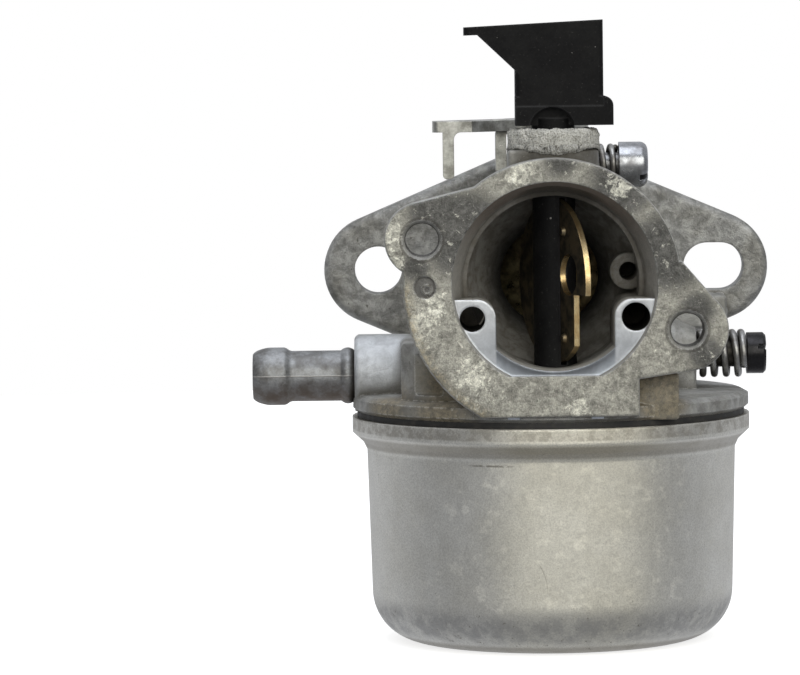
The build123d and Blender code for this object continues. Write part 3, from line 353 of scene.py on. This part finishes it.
    # Brown stain on the sheltered walls, dirt and painted shade in corners, pale crust, dark pits and worn
    # edges.
    # Dirt and painted shade: darker in creases and corners, found by ambient occlusion.
    grime_and_shade = f.product(f.hollow(2.4, 0.38, 0.92), not_pads)
    grime_and_shade = f.product(grime_and_shade, f.remap(mottle, 0.3, 0.6, 0.6, 1.0))
    colour = f.mix(f.product(grime_and_shade, 0.8), colour, (0.075, 0.066, 0.05))
    soot = f.product(f.spot(CHOKE_BOSS, 5.0, 8.5), f.remap(f.x, -5.4, -4.4), f.remap(f.y, -47.0, -46.0),
                     f.remap(mottle, 0.34, 0.56, 0.75, 1.0))
    colour = f.mix(f.product(soot, 0.85), colour, (0.075, 0.068, 0.055))
    sheltered = f.either(f.spot((-14.5, -41, -12.5), 1.5, 6.0), f.spot((14, -45, -15), 3.0, 6.0),
                         f.spot((-23, -37, -17.5), 1.5, 7.0), f.spot((-15, -44, -17.5), 1.5, 7.0))
    sheltered = f.product(sheltered, f.remap(mottle, 0.34, 0.52, 0.7, 1.0), f.invert(front_face))
    colour = f.mix(f.product(sheltered, 0.85), colour, brown)
    bare = f.invert(f.either(pads, inside, boss))
    crust = f.product(f.remap(f.noise(2.2, 6.0, 0.75), 0.63, 0.69), bare)
    colour = f.mix(f.product(crust, 0.65), colour, (0.74, 0.73, 0.66))
    pits = f.product(f.remap(f.noise(1.7, 6.0, 0.75, distortion=0.3), 0.385, 0.33), bare)
    colour = f.mix(f.product(pits, 0.7), colour, (0.07, 0.063, 0.05))
    worn = f.product(f.edges(0.32, 0.01, 0.10), f.remap(grit, 0.44, 0.56), bare, f.invert(soot))
    colour = f.mix(f.product(worn, 0.6), colour, (0.78, 0.78, 0.76))
    f.set("Base Color", colour)

    dirt = f.either(grime_and_shade, soot, f.product(sheltered, 0.8), f.product(inside, 0.85))
    f.set("Metallic", f.remap(dirt, 0.1, 0.95, 0.85, 0.25))
    rough = f.math("ADD", f.product(f.remap(grit, 0.34, 0.66, 0.44, 0.62), not_pads), f.product(pads, 0.31))
    f.set("Roughness", f.math("ADD", rough, f.product(dirt, 0.2), clamp=True))
    height = f.math("ADD", f.product(mottle, 1.4), f.math("ADD", grit, f.product(fine, 0.4)))
    f.soften(0.4, f.product(height, not_pads), 0.75, 0.16)
    return f.material


def drawn_bowl_finish():
    """Satin drawn sheet: fine grain, a few dark flecks and scuffs, a smudge above its bottom corner, a warm
    painted highlight down its middle, and painted shade under its rim and in its creases.
    """
    f = Finish("drawn_bowl", metallic=0.97, roughness=0.4)
    patch = f.noise(0.09, 5.0, 0.6)
    grain = f.noise(4.5, 4.0, 0.7)
    speck = f.noise(1.2, 7.0, 0.75)
    blotch = f.noise(0.35, 6.0, 0.7)
    colour = f.mix(f.remap(patch, 0.36, 0.64), (0.80, 0.785, 0.725), (0.86, 0.85, 0.80))
    colour = f.shade(colour, f.remap(grain, 0.36, 0.64, 0.84, 1.07))
    colour = f.shade(colour, f.remap(blotch, 0.34, 0.66, 0.96, 1.015))
    # Painted highlight: a warm tint in an upright band across the middle of the bowl.
    colour = f.mix(f.band(f.x, -3.0, 9.0, 9.0), colour, f.mix(1.0, colour, (1.0, 0.985, 0.93), "MULTIPLY"))
    low = f.band(f.z, -47.6, -45.8, 2.6)
    smudge = f.product(low, f.remap(blotch, 0.36, 0.60, 0.35, 1.0))
    colour = f.mix(f.product(smudge, 0.60), colour, (0.27, 0.27, 0.28))
    dirt = f.math("ADD", speck, f.product(f.band(f.z, -48.5, -45.0, 2.0), 0.05))
    flecks = f.remap(dirt, 0.655, 0.70)
    line = f.product(f.band(f.z, -24.5, -24.4, 0.16), f.spot((-9.0, -46.5, -24.4), 1.0, 5.0),
                     f.remap(speck, 0.40, 0.52))
    arc = f.product(f.band(f.radius((-8.5, 0, -41.5), "y"), 7.16, 7.22, 0.07),
                    f.spot((-1.9, -47.5, -39.4), 1.2, 2.6))
    marks = f.either(f.product(flecks, 0.75), f.product(line, 0.7), f.product(arc, 0.35))
    colour = f.mix(marks, colour, (0.17, 0.15, 0.12))
    rim_stain = f.product(f.band(f.z, -20.8, -19.5, 0.3),
                          f.remap(f.noise(0.6, 6.0, 0.75), 0.42, 0.58, 0.35, 1.0))
    # Painted shade under the rim and in creases, mixed with the rim's real brown stain.
    rim_groove_shade = f.product(f.band(f.z, -23.2, -22.0, 0.5), 0.75)
    grime_and_shade = f.either(f.hollow(1.6, 0.4, 0.9), f.product(rim_stain, 0.8), rim_groove_shade)
    colour = f.mix(f.product(grime_and_shade, 0.6), colour, (0.17, 0.14, 0.10))
    f.set("Base Color", colour)
    rough = f.remap(speck, 0.3, 0.7, 0.36, 0.44)
    scuffs = f.remap(f.noise(0.45, 5.0, 0.65), 0.56, 0.64)
    f.set("Roughness", f.math("ADD", rough, f.product(f.either(smudge, scuffs), 0.10)))
    f.soften(0.5, f.math("ADD", grain, f.product(speck, 0.8)), 0.22, 0.04)
    return f.material


def plated_finish(name, colour, dark, roughness=0.32, speck_share=0.25):
    """Plated steel with a fine grain, a few dark spots and painted shade in its corners."""
    f = Finish(name, metallic=0.95, roughness=roughness)
    cloud = f.noise(0.45, 4.0, 0.6)
    grain = f.noise(4.0, 3.0, 0.6)
    tint = f.mix(f.remap(cloud, 0.35, 0.68), colour, dark)
    tint = f.shade(tint, f.remap(grain, 0.3, 0.7, 0.86, 1.08))
    threshold = 0.70 - 0.15 * speck_share
    spots = f.remap(f.noise(1.0, 5.0, 0.72), threshold, threshold + 0.04)
    tint = f.mix(f.product(spots, 0.75), tint, (0.07, 0.06, 0.05))
    # Painted shade: darker in corners and creases, found by ambient occlusion.
    tint = f.mix(f.product(f.hollow(1.2, 0.35, 0.85), 0.7), tint, (0.05, 0.045, 0.035))
    f.set("Base Color", tint)
    f.set("Roughness", f.remap(cloud, 0.3, 0.7, roughness - 0.06, roughness + 0.14))
    f.soften(0.18, grain, 0.15, 0.03)
    return f.material


def choke_plate_finish():
    """Yellow zinc that stays bright on the plate's cut edges. Its two faces are sooted over."""
    f = Finish("gold_zinc", metallic=0.95, roughness=0.3)
    cloud = f.noise(0.5, 5.0, 0.65)
    flat = f.node("ShaderNodeVectorMath", operation="DOT_PRODUCT")
    f.link(f.node("ShaderNodeTexCoord").outputs["Normal"], flat.inputs[0])
    angle = math.radians(CHOKE_PLATE_DEG)
    f.link((math.cos(angle), math.sin(angle), 0.0), flat.inputs[1])
    soot = f.remap(f.math("ABSOLUTE", flat.outputs["Value"]), 0.80, 0.95)
    # The two small bumps by the shaft are sooted as well, though their sides face other ways.
    by_shaft = f.product(f.remap(f.radius(CHOKE_AXIS, "z"), 6.2, 5.6),
                         f.remap(f.math("ABSOLUTE", f.math("SUBTRACT", f.z, 1.0)), 3.4, 3.8))
    soot = f.either(soot, f.product(by_shaft, 0.8))
    soot = f.product(soot, f.remap(cloud, 0.35, 0.65, 1.0, 0.86))
    gold = f.mix(f.remap(cloud, 0.36, 0.64), (0.82, 0.66, 0.38), (0.60, 0.42, 0.20))
    sooty = f.mix(f.remap(cloud, 0.4, 0.62), (0.06, 0.055, 0.045), (0.12, 0.105, 0.08))
    f.set("Base Color", f.mix(soot, gold, sooty))
    f.set("Roughness", f.remap(soot, 0.0, 1.0, 0.26, 0.50))
    f.soften(0.15, cloud, 0.2, 0.04)
    return f.material


def plastic_finish():
    f = Finish("black_plastic", metallic=0.0, roughness=0.5, Specular_IOR_Level=0.12)
    grain = f.noise(2.6, 4.0, 0.7)
    haze = f.noise(0.3, 3.0, 0.6)
    colour = f.mix(f.remap(haze, 0.35, 0.7), (0.0045, 0.0045, 0.005), (0.008, 0.008, 0.0082))
    rubbed = f.edges(0.35)
    colour = f.mix(f.product(rubbed, 0.6), colour, (0.055, 0.055, 0.057))
    dust = f.either(f.specks(0.55, 0.09, 0.10, 2.0), f.specks(1.6, 0.12, 0.07, 9.0))
    powder = f.product(f.remap(f.noise(3.0, 5.0, 0.7), 0.62, 0.70), 0.22)
    colour = f.mix(f.product(f.either(dust, powder), 0.5), colour, (0.45, 0.44, 0.42))
    f.set("Base Color", colour)
    f.set("Roughness", f.remap(grain, 0.3, 0.7, 0.42, 0.66))
    f.soften(0.3, grain, 0.35, 0.05)
    return f.material


def rubber_finish():
    f = Finish("black_rubber", metallic=0.0, roughness=0.6)
    cloud = f.noise(0.8, 4.0, 0.6)
    f.set("Base Color", f.mix(f.remap(cloud, 0.4, 0.7), (0.012, 0.012, 0.012), (0.035, 0.033, 0.03)))
    f.set("Roughness", f.remap(cloud, 0.3, 0.7, 0.5, 0.72))
    f.soften(0.15, cloud, 0.2, 0.05)
    return f.material


def porous_finish(name, light, dark, scale):
    """Open-cell foam or felt: small pores all over, with a stain that creeps up from below."""
    f = Finish(name, metallic=0.0, roughness=0.95)
    pores = f.cells(scale)
    fluff = f.noise(scale * 0.8, 6.0, 0.8)
    stain = f.noise(0.45, 4.0, 0.6)
    colour = f.mix(f.remap(pores, 0.10, 0.50), dark, light)
    colour = f.shade(colour, f.remap(fluff, 0.32, 0.68, 0.70, 1.15))
    low = f.remap(f.math("ADD", f.z, f.product(stain, 2.0)), 20.1, 18.5)
    stained = f.either(f.product(f.remap(stain, 0.42, 0.66), 0.6), low)
    colour = f.mix(f.product(stained, 0.8), colour, f.shade(colour, 0.45))
    f.set("Base Color", colour)
    f.set("Roughness", f.remap(fluff, 0.3, 0.7, 0.85, 1.0))
    f.soften(0.1, f.math("ADD", pores, fluff), 0.8, 0.15)
    return f.material


def brass_finish():
    """Turned brass. The throttle plate behind the throat is the one piece of it that fuel has blackened."""
    f = Finish("brass", metallic=1.0, roughness=0.34)
    cloud = f.noise(0.7, 4.0, 0.6)
    rings = f.noise(3.0, 2.0, 0.6)
    colour = f.mix(f.remap(cloud, 0.35, 0.7), (0.62, 0.45, 0.20), (0.36, 0.25, 0.11))
    plate = f.product(f.remap(f.y, -16.5, -15.5), f.remap(f.z, -12.0, -11.0))
    fouled = f.mix(f.remap(f.x, -1.0, 3.0), (0.15, 0.125, 0.07), (0.26, 0.205, 0.11))
    colour = f.mix(plate, colour, f.shade(fouled, f.remap(cloud, 0.35, 0.65, 0.6, 1.3)))
    f.set("Base Color", f.shade(colour, f.remap(rings, 0.3, 0.7, 0.85, 1.1)))
    f.set("Roughness", f.remap(cloud, 0.3, 0.7, 0.26, 0.44))
    f.soften(0.1, rings, 0.15, 0.03)
    return f.material


def inlet_finish():
    """The pressed-in hose barb: dull, lightly ringed, with brown-tinted painted shade underneath and in its
    creases.
    """
    f = Finish("inlet_alloy", metallic=0.8, roughness=0.45)
    cloud = f.noise(0.35, 5.0, 0.65)
    grain = f.noise(2.4, 4.0, 0.7)
    colour = f.mix(f.remap(cloud, 0.38, 0.66), (0.34, 0.35, 0.36), (0.17, 0.168, 0.165))
    colour = f.shade(colour, f.remap(grain, 0.3, 0.7, 0.80, 1.14))
    # Painted shade: the underside of the barb is darker and browner.
    underside_shade = f.product(f.remap(f.z, -13.2, -16.5), f.remap(cloud, 0.3, 0.6, 0.5, 1.0))
    colour = f.mix(f.product(underside_shade, 0.75), colour, (0.17, 0.13, 0.10))
    seam = f.band(f.z, -13.55, -13.45, 0.10)
    colour = f.mix(f.product(seam, 0.5), colour, (0.50, 0.48, 0.45))
    # Painted shade: darker in creases, found by ambient occlusion.
    colour = f.mix(f.product(f.hollow(1.5, 0.35, 0.9), 0.7), colour, (0.05, 0.045, 0.035))
    f.set("Base Color", colour)
    f.set("Roughness", f.remap(grain, 0.3, 0.7, 0.38, 0.56))
    f.soften(0.4, f.math("ADD", grain, f.product(seam, 2.5)), 0.4, 0.06)
    return f.material


def float_finish():
    f = Finish("float_plastic", metallic=0.0, roughness=0.5)
    cloud = f.noise(0.25, 4.0, 0.6)
    f.set("Base Color", f.mix(f.remap(cloud, 0.4, 0.65), (0.02, 0.02, 0.022), (0.05, 0.045, 0.035)))
    f.set("Roughness", f.remap(cloud, 0.3, 0.7, 0.4, 0.6))
    f.soften(0.4, cloud, 0.2, 0.05)
    return f.material


def fibre_finish():
    f = Finish("fibre", metallic=0.0, roughness=0.8)
    cloud = f.noise(1.5, 4.0, 0.7)
    f.set("Base Color", f.mix(f.remap(cloud, 0.35, 0.7), (0.24, 0.10, 0.05), (0.13, 0.06, 0.03)))
    f.soften(0.1, cloud, 0.3, 0.05)
    return f.material


FINISHES = {
    "die_cast_alloy": cast_body_finish(),
    "drawn_bowl": drawn_bowl_finish(),
    "black_rubber": rubber_finish(),
    "plated_steel": plated_finish("plated_steel", (0.60, 0.60, 0.56), (0.28, 0.275, 0.25)),
    "fibre": fibre_finish(),
    "brass": brass_finish(),
    "inlet_alloy": inlet_finish(),
    "float_plastic": float_finish(),
    "gold_zinc": choke_plate_finish(),
    "black_plastic": plastic_finish(),
    "white_foam": porous_finish("white_foam", (0.62, 0.615, 0.575), (0.26, 0.245, 0.205), 4.0),
    "grey_felt": porous_finish("grey_felt", (0.16, 0.155, 0.14), (0.06, 0.055, 0.05), 2.5),
    "nickel": plated_finish("nickel", (0.44, 0.455, 0.48), (0.24, 0.24, 0.25), 0.26, 0.2),
    "black_oxide": plated_finish("black_oxide", (0.035, 0.034, 0.036), (0.02, 0.02, 0.02), 0.3, 0.1),
    "spring_steel": plated_finish("spring_steel", (0.40, 0.40, 0.395), (0.17, 0.16, 0.145), 0.3, 0.3),
}


# ---- Pieces that stand in for CAD nodes -------------------------------------------------
def new_piece(name, verts, faces, slot_name, body, *nodes):
    """A smooth mesh piece with a finish, riding on a body in place of CAD nodes."""
    mesh = bpy.data.meshes.new(name)
    mesh.from_pydata(verts, [], faces)
    mesh.materials.append(FINISHES[slot_name])
    mesh.shade_smooth()
    made = bpy.data.objects.new(name, mesh)
    bpy.context.collection.objects.link(made)
    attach(made, body)
    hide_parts(*nodes)
    return made


def tube_rings(path, radius, sides=12):
    """Vertices and faces of a closed-ended tube along a list of points."""
    verts, faces = [], []
    for index, here in enumerate(path):
        ahead = path[min(index + 1, len(path) - 1)] - path[max(index - 1, 0)]
        across = ahead.cross(Vector((1, 0, 0))).normalized()
        upright = across.cross(ahead).normalized()
        for side in range(sides):
            turn = 2 * math.pi * side / sides
            verts.append(here + radius * (math.cos(turn) * across + math.sin(turn) * upright))
    for index in range(len(path) - 1):
        for side in range(sides):
            a, b = index * sides + side, index * sides + (side + 1) % sides
            faces.append((a, b, b + sides, a + sides))
    faces.append(tuple(range(sides))[::-1])
    faces.append(tuple(range(len(verts) - sides, len(verts))))
    return verts, faces


def screw_spring(name, node, free_turns, wire_r):
    """A coil spring with closed ends between a screw's head and the casting."""
    low, high = (Vector(corner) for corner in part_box(node))
    centre_y, centre_z = (low.y + high.y) / 2, (low.z + high.z) / 2
    mean_r = (high.z - low.z) / 2 - wire_r
    dead = 0.8
    turns = free_turns + 2 * dead
    lead_in, length = low.x + wire_r, high.x - low.x - 2 * wire_r
    closed = dead * 2 * wire_r * 0.72
    path = []
    steps = int(turns * 32)
    for step in range(steps + 1):
        turned = turns * step / steps
        if turned < dead:
            along = closed * turned / dead
        elif turned > turns - dead:
            along = length - closed * (turns - turned) / dead
        else:
            along = closed + (length - 2 * closed) * (turned - dead) / free_turns
        angle = 2 * math.pi * turned
        y, z = centre_y + mean_r * math.cos(angle), centre_z + mean_r * math.sin(angle)
        path.append(Vector((lead_in + along, y, z)))
    verts, faces = tube_rings(path, wire_r)
    made = new_piece(name, verts, faces, "spring_steel", "carburetor", node)
    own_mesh(made)


def foam_seal():
    """The choke shaft's foam washer: a swollen ring, pitted all over, that droops over the boss's edge."""
    low, high = (Vector(corner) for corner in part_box("choke_foam_seal"))
    centre = (low + high) / 2
    outer_r, inner_r = (high.x - low.x) / 2, 3.25 * MM
    droop = 1.3 * MM
    around, across = 420, 120
    verts, faces = [], []
    for ring in range(around):
        turn = 2 * math.pi * ring / around
        for step in range(across):
            loop = 2 * math.pi * step / across
            # A squared-off section: the power flattens the circle's top and sides.
            out = math.copysign(abs(math.cos(loop)) ** 0.7, math.cos(loop))
            rise = math.copysign(abs(math.sin(loop)) ** 0.6, math.sin(loop))
            radius = (outer_r + inner_r) / 2 + out * (outer_r - inner_r) / 2
            height = centre.z + rise * (high.z - low.z) / 2
            if radius > 6.15 * MM and height < centre.z:
                height -= droop * (0.7 + 0.3 * math.sin(3 * turn))
            verts.append((centre.x + radius * math.cos(turn), centre.y + radius * math.sin(turn), height))
            a, b = ring * across + step, ring * across + (step + 1) % across
            c, d = (b + across) % (around * across), (a + across) % (around * across)
            faces.append((a, d, c, b))
    made = new_piece("choke_foam_washer", verts, faces, "white_foam", "carburetor", "choke_foam_seal")
    for name, size, depth in (("lumps", 1.6, 0.6), ("pores", 0.24, 0.28)):
        texture = bpy.data.textures.new(name, "VORONOI" if name == "pores" else "CLOUDS")
        texture.noise_scale = size * MM
        push = made.modifiers.new(name, "DISPLACE")
        push.texture = texture
        push.texture_coords = "LOCAL"
        push.strength = depth * MM
        push.mid_level = 0.75 if name == "lumps" else 0.6


SLOT_OF = {row["node"]: row["material_slot"] for row in frame["record"]["subparts"]}
for node_name, node_piece in frame["nodes"].items():
    node_piece.data.materials.clear()
    node_piece.data.materials.append(FINISHES[SLOT_OF[node_name]])

screw_spring("idle_spring_coil", "idle_speed_spring", 1.6, 0.42 * MM)
screw_spring("mixture_spring_coil", "idle_mixture_spring", 3.0, 0.5 * MM)
foam_seal()


# ---- Floor, light and camera ------------------------------------------------------------
def floor():
    """A pale disc that glows enough to be as white as the room behind it. It casts no light back."""
    below = FLOOR_Z - 0.02 * MM
    bpy.ops.mesh.primitive_circle_add(vertices=96, radius=0.45, fill_type="NGON", location=(0, 0, below))
    made = bpy.context.object
    made.name = "floor"
    made.visible_diffuse = False
    made.visible_glossy = False
    paint = bpy.data.materials.new("floor_white")
    paint.use_nodes = True
    shader = paint.node_tree.nodes["Principled BSDF"]
    shader.inputs["Base Color"].default_value = (0.7, 0.7, 0.7, 1)
    shader.inputs["Roughness"].default_value = 1.0
    shader.inputs["Specular IOR Level"].default_value = 0.0
    shader.inputs["Emission Color"].default_value = (1, 1, 1, 1)
    shader.inputs["Emission Strength"].default_value = 0.72
    made.data.materials.append(paint)


def soft_light(name, radiance, width, height, azimuth, elevation, colour=(1, 1, 1), distance=1.1):
    """A softbox aimed at the bore, azimuth degrees to the right of straight in front."""
    data = bpy.data.lights.new(name, "AREA")
    data.shape = "RECTANGLE"
    data.size, data.size_y = width, height
    data.color = colour
    data.energy = radiance * math.pi * width * height
    turn, lift = math.radians(azimuth), math.radians(elevation)
    away = Vector((math.sin(turn) * math.cos(lift), -math.cos(turn) * math.cos(lift), math.sin(lift)))
    made = bpy.data.objects.new(name, data)
    made.location = Vector((0, -22, -15)) * MM + away * distance
    made.rotation_euler = (-away).to_track_quat("-Z", "Y").to_euler()
    bpy.context.collection.objects.link(made)


def world():
    """White where the camera looks past the floor. The rest sees a bright back and a dim front."""
    sky = bpy.data.worlds.new("studio")
    bpy.context.scene.world = sky
    sky.use_nodes = True
    tree = sky.node_tree
    tree.nodes.clear()

    def remap(value, low, high, out_low, out_high):
        made = tree.nodes.new("ShaderNodeMapRange")
        made.interpolation_type = "SMOOTHSTEP"
        tree.links.new(value, made.inputs["Value"])
        sockets = zip(("From Min", "From Max", "To Min", "To Max"), (low, high, out_low, out_high))
        for socket, number in sockets:
            made.inputs[socket].default_value = number
        return made.outputs[0]

    def combine(operation, a, b):
        made = tree.nodes.new("ShaderNodeMath")
        made.operation = operation
        tree.links.new(a, made.inputs[0])
        tree.links.new(b, made.inputs[1])
        return made.outputs[0]

    coords = tree.nodes.new("ShaderNodeTexCoord")
    split = tree.nodes.new("ShaderNodeSeparateXYZ")
    tree.links.new(coords.outputs["Generated"], split.inputs[0])
    back = remap(split.outputs[1], -0.25, 0.75, ROOM_FRONT, ROOM_BACK)
    top = remap(split.outputs[2], 0.1, 0.9, 0.0, ROOM_TOP)
    ground = remap(split.outputs[2], -0.7, 0.0, ROOM_GROUND, 0.0)
    seen, room = tree.nodes.new("ShaderNodeBackground"), tree.nodes.new("ShaderNodeBackground")
    seen.inputs["Color"].default_value = (1, 1, 1, 1)
    room.inputs["Color"].default_value = (0.965, 0.985, 1.03, 1)
    tree.links.new(combine("ADD", combine("ADD", back, top), ground), room.inputs["Strength"])
    paths, blend = tree.nodes.new("ShaderNodeLightPath"), tree.nodes.new("ShaderNodeMixShader")
    out = tree.nodes.new("ShaderNodeOutputWorld")
    tree.links.new(paths.outputs["Is Camera Ray"], blend.inputs[0])
    tree.links.new(room.outputs[0], blend.inputs[1])
    tree.links.new(seen.outputs[0], blend.inputs[2])
    tree.links.new(blend.outputs[0], out.inputs[0])


def camera():
    place = Vector((-18.25, -703.27, 35.14)) * MM
    pitch, yaw, roll = 0.0640, -0.0037, 0.0127
    focal_px, width_px, sensor = 4922.5, 800, 36.0
    forward = Vector((math.sin(yaw) * math.cos(pitch), math.cos(yaw) * math.cos(pitch), -math.sin(pitch)))
    level = Vector((math.cos(yaw), -math.sin(yaw), 0))
    upright = level.cross(forward)
    right = math.cos(roll) * level - math.sin(roll) * upright
    up = math.sin(roll) * level + math.cos(roll) * upright
    data = bpy.data.cameras.new("camera")
    data.sensor_width = sensor
    data.lens = focal_px / width_px * sensor
    data.clip_end = 20
    made = bpy.data.objects.new("camera", data)
    axes = Matrix((right, up, -forward)).transposed().to_4x4()
    made.matrix_world = Matrix.Translation(place) @ axes
    bpy.context.collection.objects.link(made)
    bpy.context.scene.camera = made


floor()
world()
soft_light("front_soft", 2.3, 1.9, 0.7, 13, 22, (1.0, 0.98, 0.90))
soft_light("top_soft", 1.9, 0.9, 0.9, 0, 78, (0.95, 0.98, 1.04))
camera()
bpy.context.scene.view_settings.view_transform = "Standard"
